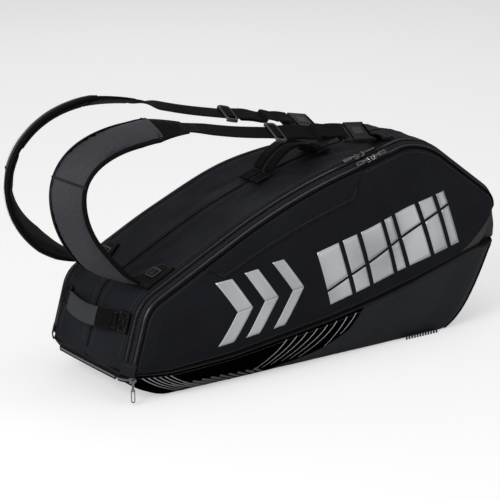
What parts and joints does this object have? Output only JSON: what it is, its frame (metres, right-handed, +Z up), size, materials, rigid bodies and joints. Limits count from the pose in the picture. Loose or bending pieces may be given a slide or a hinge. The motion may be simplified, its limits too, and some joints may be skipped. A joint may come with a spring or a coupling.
{
  "type": "racket tournament bag",
  "caption": "Long racket tournament bag with two zipped side compartments, a lower shoe pod, arched detachable backpack straps, a top carry handle and an end grab handle.",
  "frame": {"origin": "centre of the footprint, on the floor plane under the pod", "axes": "+X towards the deeper racket-head end, +Z up, the decorated side with the extra zip faces -Y"},
  "size_m": [0.8832, 0.2946, 0.4604],
  "materials": {
    "body_fabric": "coated plain-weave fabric with a soft sheen",
    "strap_fabric": "fine smooth fabric over foam",
    "reinforcement": "textured reinforcement fabric",
    "pod_fabric": "glossy coated fabric with thin silver line print",
    "webbing": "ribbed woven webbing",
    "zip_tape": "woven tape with coil teeth",
    "piping": "corded piping",
    "lining": "plain lining",
    "foam": "closed-cell foam",
    "base_rubber": "matt moulded rubber",
    "buckle_plastic": "moulded acetal, satin",
    "glide_plastic": "moulded plastic, polished edges",
    "zip_metal": "dark nickel plate"
  },
  "bodies": {
    "bag_body": {"gusset": "body_fabric", "gusset_welt": "piping", "near_main_zip": "zip_tape", "far_main_zip": "zip_tape", "centre_divider": "lining", "compartment_floor": "lining", "pod_wall": "pod_fabric", "seam_welt": "piping", "base_panel": "base_rubber", "bumper_ribs": "base_rubber", "top_handle_patches": "webbing", "end_handle_patches": "webbing", "near_anchor_wing": "reinforcement", "far_anchor_wing": "reinforcement", "near_buckle_female": "buckle_plastic", "far_buckle_female": "buckle_plastic", "near_buckle_stub": "webbing", "far_buckle_stub": "webbing"},
    "near_band": {"near_band": "body_fabric", "near_side_zip": "zip_tape", "near_divider": "lining"},
    "near_panel": {"near_side_panel": "body_fabric", "near_piping": "piping", "near_foam": "foam", "near_zip_cover": "body_fabric"},
    "far_door": {"far_band": "body_fabric", "far_side_panel": "body_fabric", "far_piping": "piping", "far_foam": "foam"},
    "pod_door": {"pod_door": "pod_fabric", "pod_zip": "zip_tape"},
    "near_main_slider_rear": {"near_main_slider_rear": "zip_metal"},
    "near_main_pull_rear": {"near_main_pull_rear": "zip_metal"},
    "near_main_slider_front": {"near_main_slider_front": "zip_metal"},
    "near_main_pull_front": {"near_main_pull_front": "zip_metal"},
    "near_side_slider_rear": {"near_side_slider_rear": "zip_metal"},
    "near_side_pull_rear": {"near_side_pull_rear": "zip_metal"},
    "near_side_slider_front": {"near_side_slider_front": "zip_metal"},
    "near_side_pull_front": {"near_side_pull_front": "zip_metal"},
    "far_main_slider_rear": {"far_main_slider_rear": "zip_metal"},
    "far_main_pull_rear": {"far_main_pull_rear": "zip_metal"},
    "far_main_slider_front": {"far_main_slider_front": "zip_metal"},
    "far_main_pull_front": {"far_main_pull_front": "zip_metal"},
    "pod_slider": {"pod_slider": "zip_metal"},
    "pod_pull": {"pod_pull": "zip_metal"},
    "near_strap": {"near_strap_pad": "strap_fabric", "near_strap_tip": "reinforcement", "near_strap_webbing": "webbing"},
    "near_strap_tail": {"near_strap_tail": "webbing"},
    "near_tri_glide": {"near_tri_glide": "glide_plastic"},
    "near_buckle_male": {"near_buckle_male": "buckle_plastic"},
    "far_strap": {"far_strap_pad": "strap_fabric", "far_strap_tip": "reinforcement", "far_strap_webbing": "webbing"},
    "far_strap_tail": {"far_strap_tail": "webbing"},
    "far_tri_glide": {"far_tri_glide": "glide_plastic"},
    "far_buckle_male": {"far_buckle_male": "buckle_plastic"},
    "top_handle": {"top_handle": "webbing"},
    "end_handle": {"end_handle": "webbing"}
  },
  "joints": [
    {"name": "near_band_open", "type": "hinge", "parent": "bag_body", "child": "near_band", "pos_m": [-0.356, -0.148, 0.024], "axis": [0.9912, 0.014, 0.132], "range_deg": [0, 45]},
    {"name": "near_panel_open", "type": "hinge", "parent": "near_band", "child": "near_panel", "pos_m": [-0.356, -0.148, 0.024], "axis": [0.9912, 0.014, 0.132], "range_deg": [0, 45]},
    {"name": "far_door_open", "type": "hinge", "parent": "bag_body", "child": "far_door", "pos_m": [-0.356, 0.148, 0.024], "axis": [-0.9912, 0.014, -0.132], "range_deg": [0, 60]},
    {"name": "pod_door_open", "type": "hinge", "parent": "bag_body", "child": "pod_door", "pos_m": [-0.309, 0, -0.0015], "axis": [0, -1, 0], "range_deg": [0, 70]},
    {"name": "near_main_zip_rear", "type": "hinge", "parent": "bag_body", "child": "near_main_slider_rear", "pos_m": [0.28774, -0.07599, -0.80752], "axis": [0.0736, -0.9973, 0], "range_deg": [0, 14]},
    {"name": "near_main_pull_rear_lift", "type": "hinge", "parent": "near_main_slider_rear", "child": "near_main_pull_rear", "pos_m": [0.09394, -0.09036, 0.33213], "axis": [-0.1638, 0.9865, 0], "range_deg": [0, 100]},
    {"name": "near_main_zip_front", "type": "slide", "parent": "bag_body", "child": "near_main_slider_front", "axis": [0.9694, 0.1993, 0.1434], "range_m": [0, 0.065]},
    {"name": "near_main_pull_front_lift", "type": "hinge", "parent": "near_main_slider_front", "child": "near_main_pull_front", "pos_m": [0.10802, -0.0879, 0.33459], "axis": [0.2014, -0.9795, 0], "range_deg": [0, 100]},
    {"name": "near_side_zip_rear", "type": "hinge", "parent": "near_band", "child": "near_side_slider_rear", "pos_m": [0.28774, -0.08981, -0.80752], "axis": [0.0736, -0.9973, 0], "range_deg": [0, 14]},
    {"name": "near_side_pull_rear_lift", "type": "hinge", "parent": "near_side_slider_rear", "child": "near_side_pull_rear", "pos_m": [0.10976, -0.10407, 0.32666], "axis": [-0.25, 0.841, 0.4797], "range_deg": [0, 100]},
    {"name": "near_side_zip_front", "type": "slide", "parent": "near_band", "child": "near_side_slider_front", "axis": [0.9694, 0.1993, 0.1434], "range_m": [0, 0.05]},
    {"name": "near_side_pull_front_lift", "type": "hinge", "parent": "near_side_slider_front", "child": "near_side_pull_front", "pos_m": [0.12374, -0.10119, 0.32902], "axis": [0.2457, -0.8419, -0.4804], "range_deg": [0, 100]},
    {"name": "far_main_zip_rear", "type": "hinge", "parent": "bag_body", "child": "far_main_slider_rear", "pos_m": [0.28774, 0.07599, -0.80752], "axis": [-0.0736, -0.9973, 0], "range_deg": [0, 14]},
    {"name": "far_main_pull_rear_lift", "type": "hinge", "parent": "far_main_slider_rear", "child": "far_main_pull_rear", "pos_m": [0.09394, 0.09036, 0.33213], "axis": [0.1638, 0.9865, 0], "range_deg": [0, 100]},
    {"name": "far_main_zip_front", "type": "slide", "parent": "bag_body", "child": "far_main_slider_front", "axis": [0.9694, -0.1993, 0.1434], "range_m": [0, 0.065]},
    {"name": "far_main_pull_front_lift", "type": "hinge", "parent": "far_main_slider_front", "child": "far_main_pull_front", "pos_m": [0.10802, 0.0879, 0.33459], "axis": [-0.2014, -0.9795, 0], "range_deg": [0, 100]},
    {"name": "pod_zip_corner", "type": "hinge", "parent": "bag_body", "child": "pod_slider", "pos_m": [-0.348, -0.093, 0.04057], "axis": [0, 0, -1], "range_deg": [0, 55]},
    {"name": "pod_pull_lift", "type": "hinge", "parent": "pod_slider", "child": "pod_pull", "pos_m": [-0.3649, -0.12227, 0.04057], "axis": [-0.866, 0.5, 0], "range_deg": [0, 110]},
    {"name": "near_strap_swing", "type": "hinge", "parent": "bag_body", "child": "near_strap", "pos_m": [-0.322, -0.082, 0.186], "axis": [0, -1, 0], "range_deg": [0, 3.2]},
    {"name": "near_tail_swing", "type": "hinge", "parent": "near_strap", "child": "near_strap_tail", "pos_m": [-0.026, -0.046, 0.378], "axis": [0, -1, 0], "range_deg": [-11.7, 0]},
    {"name": "near_glide_adjust", "type": "slide", "parent": "near_strap", "child": "near_tri_glide", "axis": [-0.9808, -0.0522, 0.1878], "range_m": [0, 0.11]},
    {"name": "near_buckle_release", "type": "slide", "parent": "bag_body", "child": "near_buckle_male", "axis": [-0.9945, 0.0452, 0.0947], "range_m": [0, 0.03]},
    {"name": "far_strap_swing", "type": "hinge", "parent": "bag_body", "child": "far_strap", "pos_m": [-0.322, 0.082, 0.186], "axis": [0, -1, 0], "range_deg": [0, 3.2]},
    {"name": "far_tail_swing", "type": "hinge", "parent": "far_strap", "child": "far_strap_tail", "pos_m": [-0.062, 0.038, 0.398], "axis": [0, -1, 0], "range_deg": [-11.5, 0]},
    {"name": "far_glide_adjust", "type": "slide", "parent": "far_strap", "child": "far_tri_glide", "axis": [-0.9696, 0.0964, 0.225], "range_m": [0, 0.11]},
    {"name": "far_buckle_release", "type": "slide", "parent": "bag_body", "child": "far_buckle_male", "axis": [-0.9818, -0.0093, 0.1895], "range_m": [0, 0.03]},
    {"name": "top_handle_tilt", "type": "hinge", "parent": "bag_body", "child": "top_handle", "pos_m": [-0.03, 0, 0.30649], "axis": [0.9531, 0, 0.3027], "range_deg": [-7, 7]},
    {"name": "end_handle_swing", "type": "hinge", "parent": "bag_body", "child": "end_handle", "pos_m": [-0.36291, 0, 0.128], "axis": [0, 1, 0], "range_deg": [-12, 12]}
  ],
  "couplings": [
    {"joint": "near_tail_swing", "follows": "near_strap_swing", "ratio": -3.3492},
    {"joint": "far_tail_swing", "follows": "far_strap_swing", "ratio": -3.2807}
  ]
}
